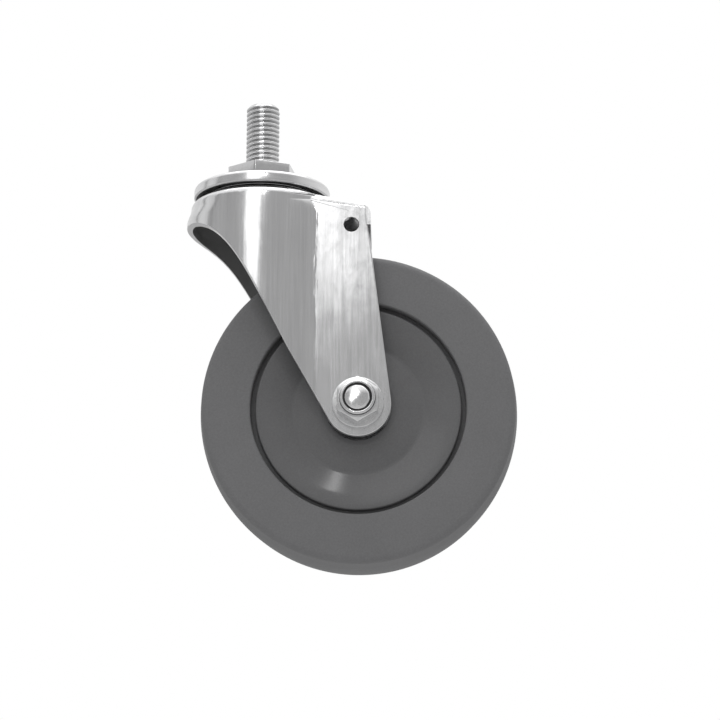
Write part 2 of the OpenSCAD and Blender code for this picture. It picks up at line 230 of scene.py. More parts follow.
def spread(tree, value, low, high, fromLow=noiseRange[0], fromHigh=noiseRange[1]):
    node = tree.nodes.new("ShaderNodeMapRange")
    node.inputs["From Min"].default_value = fromLow
    node.inputs["From Max"].default_value = fromHigh
    node.inputs["To Min"].default_value = low
    node.inputs["To Max"].default_value = high
    tree.links.new(value, node.inputs["Value"])
    return node.outputs["Result"]


def ramp(tree, value, stops):
    node = tree.nodes.new("ShaderNodeValToRGB")
    elements = node.color_ramp.elements
    while len(elements) > 1:
        elements.remove(elements[0])
    for i, (place, colour) in enumerate(stops):
        stop = elements[0] if i == 0 else elements.new(place)
        stop.position = place
        stop.color = (*colour, 1)
    tree.links.new(value, node.inputs["Fac"])
    return node.outputs["Color"]


def mottledGrey(tree, mottle, greys, blue):
    # runs from the darker to the lighter grey, each with a touch more blue
    return ramp(tree, mottle, [(place, (grey, grey, grey * more))
                               for place, grey, more in zip(noiseRange, greys, blue)])


def mathNode(tree, operation, a, b=None):
    node = tree.nodes.new("ShaderNodeMath")
    node.operation = operation
    for socket, value in zip(node.inputs, (a, b)):
        if isinstance(value, (int, float)):
            socket.default_value = value
        elif value is not None:
            tree.links.new(value, socket)
    return node.outputs["Value"]


def vectorNode(tree, operation, a, b, second=1):
    node = tree.nodes.new("ShaderNodeVectorMath")
    node.operation = operation
    tree.links.new(a, node.inputs[0])
    tree.links.new(b, node.inputs[second])
    return node.outputs[0]


def sharedSum(tree, a, b, share):
    # share of a and the rest of b
    return mathNode(tree, "ADD", mathNode(tree, "MULTIPLY", a, share),
                    mathNode(tree, "MULTIPLY", b, 1 - share))


def splitVector(tree, vector):
    node = tree.nodes.new("ShaderNodeSeparateXYZ")
    tree.links.new(vector, node.inputs[0])
    return node.outputs


def joinVector(tree, **parts):
    node = tree.nodes.new("ShaderNodeCombineXYZ")
    for label, value in parts.items():
        tree.links.new(value, node.inputs[label])
    return node.outputs[0]


def faceMark(tree, label):
    node = tree.nodes.new("ShaderNodeAttribute")
    node.attribute_name = label
    return node.outputs["Fac"]


def blendColours(tree, factor, first, grey):
    node = tree.nodes.new("ShaderNodeMix")
    node.data_type = "RGBA"
    tree.links.new(factor, node.inputs["Factor"])
    tree.links.new(first, node.inputs[6])
    node.inputs[7].default_value = (grey, grey, grey, 1)
    return node.outputs[2]


def bump(tree, shader, height, strength, distance, under=None):
    node = tree.nodes.new("ShaderNodeBump")
    node.inputs["Strength"].default_value = strength
    node.inputs["Distance"].default_value = distance
    tree.links.new(height, node.inputs["Height"])
    if under is not None:
        tree.links.new(under, node.inputs["Normal"])
    tree.links.new(node.outputs["Normal"], shader.inputs["Normal"])


# each noise is its scale along x, y and z, its detail, its roughness and where it starts
steelNoise = {
    "fine": (3.0, 0.6), "broad": (3.0, 0.5), "broadScale": 0.16, "fineShare": 0.6,
    "cloud": ((60, 60, 60), 4.0, 0.6), "streakShare": 0.75,
    "strips": (4.0, 0.65), "patches": ((70, 70, 45), 2.0, 0.5, (0.3, 0.1, 0.7)),
    "drift": ((90, 90, 60), 2.0, 0.5, (0.8, 0.5, 0.2)),
    "ripple": ((260, 260, 170), 4.0, 0.7, (0.1, 0.9, 0.4)),
    "bendMarks": (4.0, 0.7, (0.2, 0.6, 0.5))}
steelLook = {"blue": (1.01, 1.005), "smoothest": 0.8, "roughest": 1.25,
             "insideRoughness": 0.6, "cutRoughness": 0.45, "scratchDepth": 0.00005,
             "leanRange": (0.2, 0.8), "bendEnd": (0.8, 1.2)}


def paintedValleyShade(tree, valley):
    # painted shade: the colour darkens towards the thread's valleys, where shade falls in its
    # grooves
    place = splitVector(tree, objectCoords(tree))
    squares = [mathNode(tree, "MULTIPLY", place[way], place[way]) for way in "XY"]
    reach = mathNode(tree, "SQRT", mathNode(tree, "ADD", *squares))
    return spread(tree, reach, valley["shade"], 1.0, valley["floor"] * mm, valley["crest"] * mm)


def leaning(tree, patches, strips, polish):
    dent, tilt, limits = polish["dent"], polish["tilt"], steelLook["leanRange"]
    return mathNode(tree, "ADD", spread(tree, patches, -dent, dent, *limits),
                    spread(tree, strips, -tilt, tilt, *limits))


def flattenedBend(tree, normal, polish):
    # the bend between the drum and the leg ends in ragged polishing marks
    rag = polish["bendRag"] * mm
    start, end = polish["bend"]
    past = [(end + gap) * mm for gap in steelLook["bendEnd"]]
    x = splitVector(tree, objectCoords(tree))["X"]
    marks = noise(tree, polish["bendStrips"], *steelNoise["bendMarks"])
    edge = mathNode(tree, "ADD", x, spread(tree, marks, -rag, rag))
    flat = mathNode(tree, "MULTIPLY", spread(tree, edge, 0.0, 1.0, start * mm, end * mm),
                    spread(tree, x, 1.0, 0.0, *past))
    parts = splitVector(tree, normal)
    faced = mathNode(tree, "MULTIPLY", parts["X"], mathNode(tree, "SUBTRACT", 1.0, flat))
    return joinVector(tree, X=faced, Y=parts["Y"], Z=parts["Z"])


def polishedNormal(tree, polish):
    # hand polishing leans each narrow strip a little up or down
    strips = noise(tree, polish["strips"], *steelNoise["strips"])
    lean = leaning(tree, noise(tree, *steelNoise["patches"]), strips, polish)
    sway = leaning(tree, noise(tree, *steelNoise["drift"]), noise(tree, *steelNoise["ripple"]),
                   polish)
    surface = tree.nodes.new("ShaderNodeNewGeometry")
    bent = flattenedBend(tree, surface.outputs["Normal"], polish)
    return vectorNode(tree, "ADD", bent, joinVector(tree, X=sway, Z=lean))


def brushedSteel(name, finish):
    made, tree, shader = newMaterial(name, 1.0, finish["roughness"])
    broadGrain = tuple(v * steelNoise["broadScale"] for v in finish["grain"])
    streaks = sharedSum(tree, noise(tree, finish["grain"], *steelNoise["fine"]),
                        noise(tree, broadGrain, *steelNoise["broad"]), steelNoise["fineShare"])
    mottle = sharedSum(tree, streaks, noise(tree, *steelNoise["cloud"]),
                       steelNoise["streakShare"])
    colour = mottledGrey(tree, mottle, finish["colour"], steelLook["blue"])
    rough = spread(tree, mottle, finish["roughness"] * steelLook["smoothest"],
                   finish["roughness"] * steelLook["roughest"])
    # painted shade: a finish with valley settings is drawn darker in the thread's grooves
    if "valley" in finish:
        colour = vectorNode(tree, "SCALE", colour, paintedValleyShade(tree, finish["valley"]), "Scale")
    # painted shade: faces marked inside take a darker grey; they and the cut edges are also
    # rougher
    if "inside" in finish:
        colour = blendColours(tree, faceMark(tree, "inside"), colour, finish["inside"])
        for label, least in (("inside", steelLook["insideRoughness"]),
                             ("cutEdge", steelLook["cutRoughness"])):
            dull = mathNode(tree, "MULTIPLY", faceMark(tree, label), least)
            rough = mathNode(tree, "MAXIMUM", rough, dull)
    tree.links.new(colour, shader.inputs["Base Color"])
    tree.links.new(rough, shader.inputs["Roughness"])
    under = polishedNormal(tree, finish["polish"]) if "polish" in finish else None
    bump(tree, shader, streaks, finish["bump"], steelLook["scratchDepth"], under)
    return made


plasticLook = {"cloud": ((55, 55, 55), 3.0, 0.5), "speck": (6.0, 0.7), "speckShare": 0.7,
               "blue": (1.02, 1.02), "smoothest": 0.88, "roughest": 1.1, "grainDepth": 0.00008}


def mouldedPlastic(name, finish):
    made, tree, shader = newMaterial(name, 0.0, finish["roughness"], finish["gloss"])
    speck = noise(tree, (finish["speckScale"],) * 3, *plasticLook["speck"])
    cloud = noise(tree, *plasticLook["cloud"])
    mottle = sharedSum(tree, speck, cloud, plasticLook["speckShare"])
    colour = mottledGrey(tree, mottle, finish["colour"], plasticLook["blue"])
    rough = spread(tree, cloud, finish["roughness"] * plasticLook["smoothest"],
                   finish["roughness"] * plasticLook["roughest"])
    tree.links.new(colour, shader.inputs["Base Color"])
    tree.links.new(rough, shader.inputs["Roughness"])
    bump(tree, shader, speck, finish["bump"], plasticLook["grainDepth"])
    if "coat" in finish:
        shader.inputs["Coat Weight"].default_value = finish["coat"]
        shader.inputs["Coat Roughness"].default_value = finish["coatRoughness"]
    return made


# the inside grey is painted shade on the fork's inner faces
forkFinish = {
    "colour": (0.62, 0.76), "roughness": 0.17, "grain": (1500, 1500, 40), "bump": 0.15,
    "inside": 0.38,
    "polish": {"tilt": 0.016, "dent": 0.012, "strips": (700, 700, 28),
               "bend": (21.8, 23.8), "bendRag": 2.2, "bendStrips": (900, 900, 70)}}
stemFinish = {"colour": (0.60, 0.76), "roughness": 0.16, "grain": (900, 900, 900), "bump": 0.1}
# the thread's valley settings paint shade into its grooves
threadFinish = {
    "colour": (0.66, 0.80), "roughness": 0.16, "grain": (900, 900, 900), "bump": 0.1,
    "valley": {"floor": 6.1, "crest": 6.7, "shade": 0.55}}
# the cap's inside grey is painted shade under its rim, in the gap above the fork
capFinish = {"colour": (0.64, 0.78), "roughness": 0.2, "grain": (300, 300, 4500), "bump": 0.12,
             "inside": 0.16}
boltFinish = {"colour": (0.60, 0.80), "roughness": 0.2, "grain": (650, 650, 1100), "bump": 0.6}
cageFinish = {"colour": (0.42, 0.55), "roughness": 0.35, "grain": (900, 900, 900), "bump": 0.15}
hubFinish = {
    "colour": (0.115, 0.16), "roughness": 0.55, "gloss": 0.4, "speckScale": 1500, "bump": 0.12,
    "coat": 0.2, "coatRoughness": 0.125}
tyreFinish = {"colour": (0.15, 0.20), "roughness": 0.62, "gloss": 0.4, "speckScale": 1300,
              "bump": 0.2}
# the nylon ring is near black: dark nylon, and also painted shade for the gap round the bolt's
# end
nylonFinish = {"colour": (0.02, 0.035), "roughness": 0.45, "gloss": 0.4, "speckScale": 1500,
               "bump": 0.1}

forkSteel = brushedSteel("polishedForkSteel", forkFinish)
stemSteel = brushedSteel("cutStemSteel", stemFinish)
threadSteel = brushedSteel("rolledThreadSteel", threadFinish)
capSteel = brushedSteel("turnedCapSteel", capFinish)
boltSteel = brushedSteel("boltSteel", boltFinish)
cageMetal = brushedSteel("cageMetal", cageFinish)
hubPlastic = mouldedPlastic("hubPlastic", hubFinish)
tyreRubber = mouldedPlastic("tyreRubber", tyreFinish)
darkNylonAndGapShade = mouldedPlastic("darkNylonAndGapShade", nylonFinish)
print("materials made")

# where a flank of the thread begins and ends, as shares of half a pitch
threadFlank = {"From Min": 0.16, "From Max": 0.72, "To Min": 0.0, "To Max": 1.0}


def threadTree():
    tree = bpy.data.node_groups.new("cutThread", "GeometryNodeTree")
    face = tree.interface
    sockets = {
        "NodeSocketFloat": ("Major Radius", "Thread Depth", "Pitch", "Length", "End Chamfer",
                            "Run Out"),
        "NodeSocketInt": ("Around", "Along"), "NodeSocketMaterial": ("Finish",)}
    face.new_socket("Geometry", in_out="INPUT", socket_type="NodeSocketGeometry")
    for kind, labels in sockets.items():
        for label in labels:
            face.new_socket(label, in_out="INPUT", socket_type=kind)
    face.new_socket("Geometry", in_out="OUTPUT", socket_type="NodeSocketGeometry")
    add = tree.nodes.new
    link = tree.links.new
    given = add("NodeGroupInput").outputs

    def calc(operation, a, b=None):
        return mathNode(tree, operation, a, b)

    # a flat grid of unit size is rolled up into the thread
    grid = add("GeometryNodeMeshGrid")
    grid.inputs["Size X"].default_value = 1.0
    grid.inputs["Size Y"].default_value = 1.0
    link(given["Around"], grid.inputs["Vertices X"])
    link(given["Along"], grid.inputs["Vertices Y"])
    place = splitVector(tree, add("GeometryNodeInputPosition").outputs[0])
    turn = calc("MULTIPLY", calc("ADD", place["X"], 0.5), 2 * math.pi)
    along = calc("MULTIPLY", calc("ADD", place["Y"], 0.5), given["Length"])
    phase = calc("FRACT", calc("SUBTRACT", calc("DIVIDE", along, given["Pitch"]),
                               calc("DIVIDE", turn, 2 * math.pi)))
    tooth = calc("ABSOLUTE", calc("SUBTRACT", calc("MULTIPLY", phase, 2.0), 1.0))
    flank = add("ShaderNodeMapRange")
    for key, value in threadFlank.items():
        flank.inputs[key].default_value = value
    link(tooth, flank.inputs["Value"])
    runOut = calc("MINIMUM", calc("DIVIDE", along, given["Run Out"]), 1.0)
    minor = calc("SUBTRACT", given["Major Radius"], given["Thread Depth"])
    height = calc("MULTIPLY", calc("MULTIPLY", flank.outputs[0], given["Thread Depth"]), runOut)
    endRadius = calc("SUBTRACT", given["Major Radius"], given["End Chamfer"])
    chamfer = calc("ADD", endRadius, calc("SUBTRACT", given["Length"], along))
    radius = calc("MINIMUM", calc("ADD", minor, height), chamfer)
    rolled = joinVector(tree, X=calc("MULTIPLY", radius, calc("COSINE", turn)),
                        Y=calc("MULTIPLY", radius, calc("SINE", turn)), Z=along)
    move = add("GeometryNodeSetPosition")
    link(grid.outputs["Mesh"], move.inputs["Geometry"])
    link(rolled, move.inputs["Position"])

    # both ends are closed by a disc with the grid's own rim
    join = add("GeometryNodeJoinGeometry")
    link(move.outputs["Geometry"], join.inputs[0])
    rimCount = calc("SUBTRACT", given["Around"], 1.0)
    for discRadius, discHeight in ((minor, None), (endRadius, given["Length"])):
        disc = add("GeometryNodeMeshCircle")
        disc.fill_type = "NGON"
        link(rimCount, disc.inputs["Vertices"])
        link(discRadius, disc.inputs["Radius"])
        lift = add("GeometryNodeTransform")
        if discHeight is not None:
            link(joinVector(tree, Z=discHeight), lift.inputs["Translation"])
        link(disc.outputs[0], lift.inputs["Geometry"])
        link(lift.outputs[0], join.inputs[0])
    seal = add("GeometryNodeMergeByDistance")
    seal.inputs["Distance"].default_value = weld["threadRim"]
    link(join.outputs[0], seal.inputs["Geometry"])
    paint = add("GeometryNodeSetMaterial")
    link(seal.outputs[0], paint.inputs["Geometry"])
    link(given["Finish"], paint.inputs["Material"])
    link(paint.outputs[0], add("NodeGroupOutput").inputs[0])
    return tree


cutThread = threadTree()


def threadMesh(name, form, finish):
    # runs the thread's node tree on an empty mesh and keeps the result as a plain mesh
    values = {
        "Major Radius": form["radius"] * mm, "Thread Depth": form["depth"] * mm,
        "Pitch": form["pitch"] * mm, "Length": form["length"] * mm,
        "End Chamfer": form["chamfer"] * mm, "Run Out": form["runOut"] * mm,
        "Around": form["around"], "Along": form["along"], "Finish": finish}
    holder = bpy.data.objects.new(name + "Maker", bpy.data.meshes.new(name + "Maker"))
    bpy.context.scene.collection.objects.link(holder)
    modifier = holder.modifiers.new("maker", "NODES")
    modifier.node_group = cutThread
    for socket in cutThread.interface.items_tree:
        if socket.name in values:
            modifier[socket.identifier] = values[socket.name]
    made = bakeModifiers(holder)
    made.name = name
    bpy.data.objects.remove(holder)
    work = bmesh.new()
    work.from_mesh(made)
    bmesh.ops.remove_doubles(work, verts=work.verts, dist=weld["thread"])
    bmesh.ops.recalc_face_normals(work, faces=work.faces)
    work.to_mesh(made)
    work.free()
    made.transform(Matrix.Translation((0, 0, form["start"] * mm)))
    return made


stud = {"radius": 6.85, "depth": 0.8, "pitch": 2.0, "length": 28.5, "start": -1.0,
        "chamfer": 1.2, "runOut": 2.2, "around": 97, "along": 230}
threadedStud = addObject("threadedStud", threadMesh("studThread", stud, threadSteel),
                         threadSteel, sharpFrom["thread"])
fitPiece(threadedStud, "base", "stem_steel", "threaded_stem")

hexagon = {"flats": 25.5, "low": -6.6, "high": 0.0, "bore": 4.0, "turn": 22.0, "edge": 0.3}
hexBody = addObject("stemHexagon", hexMesh(
    "stemHexagon", hexagon["flats"], hexagon["low"], hexagon["high"], hexagon["bore"],
    hexagon["turn"], chamferTop=False), stemSteel)
bevelHexagon(hexBody, hexagon["edge"])
fitPiece(hexBody, "base", "stem_steel", "threaded_stem")

# sections are lists of (radius, height, fillet)
kingpin = {"segments": 128, "section": [
    (0, -5.4, 0), (7.6, -5.4, 0), (7.6, -19.45, 0.2), (6.1, -19.45, 0.2), (6.1, -23.25, 0),
    (9.3, -23.25, 0.2), (9.3, -24.45, 0.5), (7.5, -26.25, 0.8), (4.2, -26.25, 0.4),
    (3.2, -25.75, 0.4), (0, -25.75, 0)]}
kingpinPiece = addObject("kingpinRivet", latheMesh(
    "kingpin", roundCorners(kingpin["section"], closed=False), kingpin["segments"],
    closed=False), stemSteel)
fitPiece(kingpinPiece, "base", "stem_steel", "threaded_stem")
print("stem made")


def markFaces(piece, label, test):
    # the material reads this mark on the faces: an inside mark paints shade on them, and a cut
    # edge mark makes them rougher
    mesh = piece.data
    mark = mesh.attributes.new(label, "FLOAT", "FACE")
    for face in mesh.polygons:
        mark.data[face.index].value = 1.0 if test(face.center / mm, face.normal) else 0.0


cap = {"segments": 256, "filletSteps": 5, "drop": -2.4, "underRadius": 27.0, "underSlope": -0.3,
       "section": [
           (7.6, -4.2, 0.2), (14.8, -4.2, 1.2), (25.0, -6.2, 1.6), (27.9, -6.5, 2.2),
           (27.9, -10.6, 0.25), (27.3, -11.1, 0.2), (25.6, -11.1, 0.2), (23.8, -10.5, 0.3),
           (22.9, -10.4, 0.2), (22.78, -10.9, 0.1), (21.9, -9.45, 0.6), (20.6, -8.6, 0.8),
           (19.5, -8.41, 1.0), (18.4, -8.6, 0.8), (17.1, -9.45, 0.6), (16.3, -10.6, 0.2),
           (15.0, -10.5, 0.3), (13.4, -6.6, 0.8), (7.6, -6.6, 0.2)]}


# faces under the cap, which are drawn darker as painted shade
def isUnderCap(place, normal):
    return normal.z < cap["underSlope"] and math.hypot(place.x, place.y) < cap["underRadius"]


capSection = [(r, z + cap["drop"], fillet) for r, z, fillet in cap["section"]]
capPiece = addObject("raceCap", latheMesh(
    "capShell", roundCorners(capSection, steps=cap["filletSteps"]), cap["segments"]), capSteel)
markFaces(capPiece, "inside", isUnderCap)
fitPiece(capPiece, "base", "race_steel", "upper_race_cap")

# the CAD nodes that are shown as they are
nodeFinishes = [
    (capSteel, ("lower_race_cup", "inner_ring_near", "inner_ring_far", "outer_ring_near",
                "outer_ring_far", "shields_near", "shields_far", "upper_race_balls",
                "lower_race_balls", "bearing_balls_near", "bearing_balls_far")),
    (cageMetal, ("ball_cage_near", "ball_cage_far")),
    (boltSteel, ("bearing_spacer", "side_bushes"))]
for finish, names in nodeFinishes:
    for name in names:
        nodes[name].data.materials.clear()
        nodes[name].data.materials.append(finish)
print("race made")

# how far the fork's creases are rounded: its lip and its long bends stay as they are
edgeRound = {
    "angle": 14.0, "width": 0.4, "rimWidth": 0.55, "legTop": -50.0, "segments": 3, "room": 0.4,
    "flatArea": 60.0, "stray": 0.6, "lipFrom": 37.0, "lipHalf": 18.5, "bendAngle": 25.0,
    "bendLength": 20.0, "flatAngle": 0.2, "slack": 0.1}
# how far the drum's flare is taken back towards its sides
drum = {"flareTop": -18.6, "flareHeight": 6.3, "flare": 1.6, "frontArc": 20.0, "easeArc": 45.0,
        "taper": 25.0, "legFace": 22.5, "inner": 24.0, "slack": 0.05}
# where shade is painted on the fork's inner faces, which are also rougher, and where its
# sheared edges are rougher
paintedShadeAndCutFaces = {"capReach": 26.3, "capFloor": -15.2, "roofFloor": -23.0, "roofSlope": -0.7,
              "wallFacing": 0.35, "drumEnd": 14.0, "cutTop": -30.0, "cutFacing": 0.15}


def easeSides(work, form):
    # the drum flares towards the front and stays upright at its sides
    taper = math.radians(form["taper"])
    for vert in work.verts:
        x, y, z = vert.co / mm
        isLeg = abs(y) < form["legFace"] + form["slack"] and x > 0
        if z > form["flareTop"] or isLeg:
            continue
        drop = min(1.0, (form["flareTop"] - z) / form["flareHeight"])
        flare = form["flare"] * (1 - math.cos(math.pi * drop)) / 2
        fromFront = math.degrees(math.atan2(abs(y), -x))
        side = min(1.0, max(0.0, (fromFront - form["frontArc"]) / form["easeArc"]))
        move = flare * side * side * (3 - 2 * side)
        if fromFront < 90 + form["taper"]:
            way = Vector((x, y, 0)).normalized()
        else:
            way = Vector((math.sin(taper), math.copysign(math.cos(taper), y), 0))
        if math.hypot(x, y) > form["inner"] or x > 0:
            vert.co -= way * move * mm


def bevelWidth(line, edge, form):
    # a crease is rounded as far as its neighbours leave room
    turn = math.degrees(line.calc_face_angle(0.0)) if len(line.link_faces) == 2 else 0.0
    middle = (line.verts[0].co + line.verts[1].co) / 2 / mm
    isLip = middle.x > edge["lipFrom"] and abs(middle.y) < edge["lipHalf"]
    isBend = turn < edge["bendAngle"] and line.calc_length() > edge["bendLength"] * mm
    if turn < edge["angle"] or isLip or isBend:
        return 0.0
    room = min(near.calc_length() for vert in line.verts for near in vert.link_edges) / mm
    isRim = middle.z < edge["legTop"] and abs(middle.y) > form["legFace"] - edge["slack"]
    return min(edge["rimWidth"] if isRim else edge["width"], edge["room"] * room)


def softenedCopy(name, nodeName, finish, form, edge):
    work = bmesh.new()
    work.from_mesh(nodes[nodeName].data)
    bmesh.ops.remove_doubles(work, verts=work.verts, dist=weld["fork"])
    easeSides(work, form)
    bmesh.ops.dissolve_limit(work, angle_limit=math.radians(edge["flatAngle"]),
                             verts=work.verts, edges=work.edges)
    bmesh.ops.recalc_face_normals(work, faces=work.faces)
    surface = BVHTree.FromBMesh(work)
    weight = work.edges.layers.float.new("bevel_weight_edge")
    for line in work.edges:
        line[weight] = bevelWidth(line, edge, form) / edge["rimWidth"]
    mesh = bpy.data.meshes.new(name)
    work.to_mesh(mesh)
    work.free()
    piece = addObject(name, mesh, finish, edge["angle"])
    bevel = piece.modifiers.new("edgeRound", "BEVEL")
    bevel.width = edge["rimWidth"] * mm
    bevel.segments = edge["segments"]
    bevel.limit_method = "WEIGHT"
    bevel.use_clamp_overlap = False
    bevel.harden_normals = True
    made = bakeModifiers(piece)
    # a corner that shot past the sheet is laid back on it
    for vert in made.vertices:
        spot, _, _, gap = surface.find_nearest(vert.co)
        if gap > edge["stray"] * mm:
            vert.co = spot
    # large flat faces keep a flat shade right up to their edges
    normals = [corner.vector.copy() for corner in made.corner_normals]
    for face in made.polygons:
        if face.area > edge["flatArea"] * mm * mm:
            for loop in face.loop_indices:
                normals[loop] = face.normal.copy()
    made.normals_split_custom_set(normals)
    return piece


# the fork's inner faces, which are drawn darker as painted shade
def isInsideFork(place, normal):
    x, y, z = place
    if math.hypot(x, y) < paintedShadeAndCutFaces["capReach"] and z > paintedShadeAndCutFaces["capFloor"]:
        return True
    isRoof = normal.z < paintedShadeAndCutFaces["roofSlope"] and z > paintedShadeAndCutFaces["roofFloor"]
    inwards = Vector((-min(x, 0.0), -y, 0.0)).normalized()
    isWall = inwards.length > 0 and normal.dot(inwards) > paintedShadeAndCutFaces["wallFacing"]
    return (isRoof or isWall) and x < paintedShadeAndCutFaces["drumEnd"]


def isCutEdge(place, normal):
    # the sheared edges round the two legs
    isLow = place.x > 0 and place.z < paintedShadeAndCutFaces["cutTop"]
    return isLow and abs(normal.y) < paintedShadeAndCutFaces["cutFacing"]


forkPiece = softenedCopy("pressedFork", "fork", forkSteel, drum, edgeRound)
markFaces(forkPiece, "inside", isInsideFork)
markFaces(forkPiece, "cutEdge", isCutEdge)
fitPiece(forkPiece, "fork_body", "fork_steel", "fork")
print("fork made")

washer = {"radius": 10.25, "bore": 5.2, "low": 22.5, "high": 24.5, "boreEdge": 0.2,
          "lowEdge": 0.15, "highEdge": 0.5, "segments": 128}
washerSection = roundCorners([
    (washer["bore"], washer["low"], washer["boreEdge"]),
    (washer["radius"], washer["low"], washer["lowEdge"]),
    (washer["radius"], washer["high"], washer["highEdge"]),
    (washer["bore"], washer["high"], washer["boreEdge"])])
for label, turn in (("Near", 0.0), ("Far", math.pi)):
    washerMesh = latheMesh("axleWasher" + label, washerSection, washer["segments"])
    washerMesh.transform(Matrix.Rotation(turn, 4, "X"))
    washerPiece = addObject("axleWasher" + label, toAxle(washerMesh), boltSteel)
    fitPiece(washerPiece, "fork_body", "bolt_steel", "axle_washers")

nut = {"flats": 16.0, "low": 24.5, "high": 30.9, "bore": 5.1, "turn": 30.0, "edge": 0.2}
nutHex = hexMesh("nutHex", nut["flats"], nut["low"], nut["high"], nut["bore"], nut["turn"])
nutPiece = addObject("lockNut", toAxle(nutHex), boltSteel)
bevelHexagon(nutPiece, nut["edge"])
fitPiece(nutPiece, "fork_body", "bolt_steel", "axle_nut")

collar = {"segments": 128, "filletSteps": 4, "section": [
    (5.75, 30.0, 0), (7.2, 30.0, 0), (7.2, 32.4, 0.6), (6.8, 33.8, 0.7), (5.7, 33.8, 0.3),
    (5.7, 33.1, 0.1)]}
collarMesh = latheMesh("nutCollar", roundCorners(
    collar["section"], steps=collar["filletSteps"]), collar["segments"])
collarPiece = addObject("nutCollar", toAxle(collarMesh), boltSteel)
fitPiece(collarPiece, "fork_body", "bolt_steel", "axle_nut")

insert = {"segments": 96, "filletSteps": 4, "section": [
    (5.05, 30.9, 0.1), (5.72, 30.9, 0.1), (5.72, 33.2, 0.15), (5.05, 33.2, 0.3)]}
insertMesh = latheMesh("nylonRing", roundCorners(
    insert["section"], steps=insert["filletSteps"]), insert["segments"])
insertPiece = addObject("nylonRing", toAxle(insertMesh), darkNylonAndGapShade)
fitPiece(insertPiece, "fork_body", "insert_nylon", "nut_insert")

head = {"flats": 16.0, "thick": 6.4, "seat": 24.5, "centre": 0.5, "turn": 0.0, "edge": 0.2}
headMesh = hexMesh("boltHead", head["flats"], 0.0, head["thick"], head["centre"], head["turn"])
headMesh.transform(Matrix.Translation((0, 0, head["seat"] * mm)))
headMesh.transform(Matrix.Rotation(math.pi, 4, "X"))
headPiece = addObject("boltHead", toAxle(headMesh), boltSteel)
bevelHexagon(headPiece, head["edge"])
fitPiece(headPiece, "fork_body", "bolt_steel", "axle_bolt")

shank = {"segments": 96, "section": [
    (0, -30.6, 0), (4.2, -30.6, 0.2), (5.0, -24.0, 0), (5.0, 20.0, 0), (4.9, 21.0, 0),
    (0, 21.0, 0)]}
shankMesh = latheMesh("boltShank", roundCorners(shank["section"], closed=False),
                      shank["segments"], closed=False)
shankPiece = addObject("boltShank", toAxle(shankMesh), boltSteel)
fitPiece(shankPiece, "fork_body", "bolt_steel", "axle_bolt")

boltThread = {"radius": 5.0, "depth": 0.85, "pitch": 1.5, "length": 13.9, "start": 20.5,
              "chamfer": 0.8, "runOut": 1.5, "around": 97, "along": 120}
boltThreadMesh = threadMesh("boltThread", boltThread, boltSteel)
boltThreadPiece = addObject("boltThread", toAxle(boltThreadMesh), boltSteel,
                            sharpFrom["thread"])
fitPiece(boltThreadPiece, "fork_body", "bolt_steel", "axle_bolt")
print("axle made")

# the wheel's sections run from its middle plane outwards
hub = {"segments": 256, "filletSteps": 5, "half": [
    (8.5, 0.0, 0), (8.5, 6.0, 0.2), (13.0, 6.0, 0.2), (13.0, 14.0, 0.3), (15.0, 14.0, 0.6),
    (25.6, 11.3, 2.0), (26.6, 11.35, 0.5), (36.0, 13.2, 50.0), (41.0, 13.7, 0.7),
    (41.0, 10.5, 0.4), (42.9, 10.5, 0.2), (42.9, 5.0, 0.2), (47.0, 4.0, 0.4), (47.0, 0.0, 0)]}
tyre = {"segments": 320, "filletSteps": 8, "half": [
    (47.0, 0.0, 0), (47.0, 4.0, 0.4), (42.9, 5.0, 0.2), (42.9, 15.6, 0.5), (43.4, 16.0, 0.3),
    (62.3, 16.0, 5.2), (62.72, 10.5, 0), (63.1, 7.5, 0), (63.32, 5.0, 0), (63.45, 2.5, 0),
    (63.5, 0.0, 0)]}


def wheelMesh(name, form):
    half = roundCorners(form["half"], closed=False, steps=form["filletSteps"])
    whole = half + [Vector((p.x, -p.y)) for p in reversed(half)]
    return toAxle(latheMesh(name, whole, form["segments"]))


hubPiece = addObject("wheelHub", wheelMesh("wheelHub", hub), hubPlastic)
fitPiece(hubPiece, "wheel", "hub_plastic", "wheel_hub")
tyrePiece = addObject("rubberTyre", wheelMesh("rubberTyre", tyre), tyreRubber)
fitPiece(tyrePiece, "wheel", "tyre_rubber", "tyre")
print("wheel made")

# sizes and places in metres
lamps = {
    "keyLeft": {"size": (0.49, 1.0), "place": (-0.228, -1.16, 0.782),
                "aim": (-0.228, 0.0, 0.782), "radiance": 1.7},
    "glintBox": {"size": (0.035, 0.09), "place": (0.1266, -1.1042, 0.5392),
                 "aim": (0.03, 0.0, -0.14), "radiance": 60.0},
    "topBox": {"size": (1.4, 1.4), "place": (0.1, 0.1, 1.2),
               "aim": (0.015, 0.0, -0.075), "radiance": 1.2}}


def addLamp(name, form):
    width, height = form["size"]
    data = bpy.data.lights.new(name, "AREA")
    data.shape = "RECTANGLE"
    data.size, data.size_y = width, height
    data.energy = form["radiance"] * math.pi * width * height
    lamp = bpy.data.objects.new(name, data)
    bpy.context.scene.collection.objects.link(lamp)
    place = Vector(form["place"])
    lamp.location = place
    lamp.rotation_euler = (Vector(form["aim"]) - place).to_track_quat("-Z", "Y").to_euler()


for name, form in lamps.items():
    addLamp(name, form)

room = {
    "diffuse": 0.55, "ceiling": 1.15, "ceilingFrom": (0.5, 0.7), "white": 1.0,
    # degrees from the front, with left below zero
    "around": [(-180, 0.85), (-112, 0.85), (-109, 0.25), (-106, 0.25), (-103, 0.85), (-81, 0.8),
               (-78, 0.3), (-75, 0.3), (-72, 0.5), (-40, 0.45), (-28, 0.55), (0, 0.45),
               (50, 0.47), (75, 0.7), (120, 0.9), (180, 0.85)]}


def plainBackground(tree, grey):
    node = tree.nodes.new("ShaderNodeBackground")
    node.inputs["Color"].default_value = (grey, grey, grey, 1)
    return node.outputs[0]


def mixShaders(tree, factor, first, second):
    node = tree.nodes.new("ShaderNodeMixShader")
    for socket, value in zip(node.inputs, (factor, first, second)):
        tree.links.new(value, socket)
    return node.outputs[0]


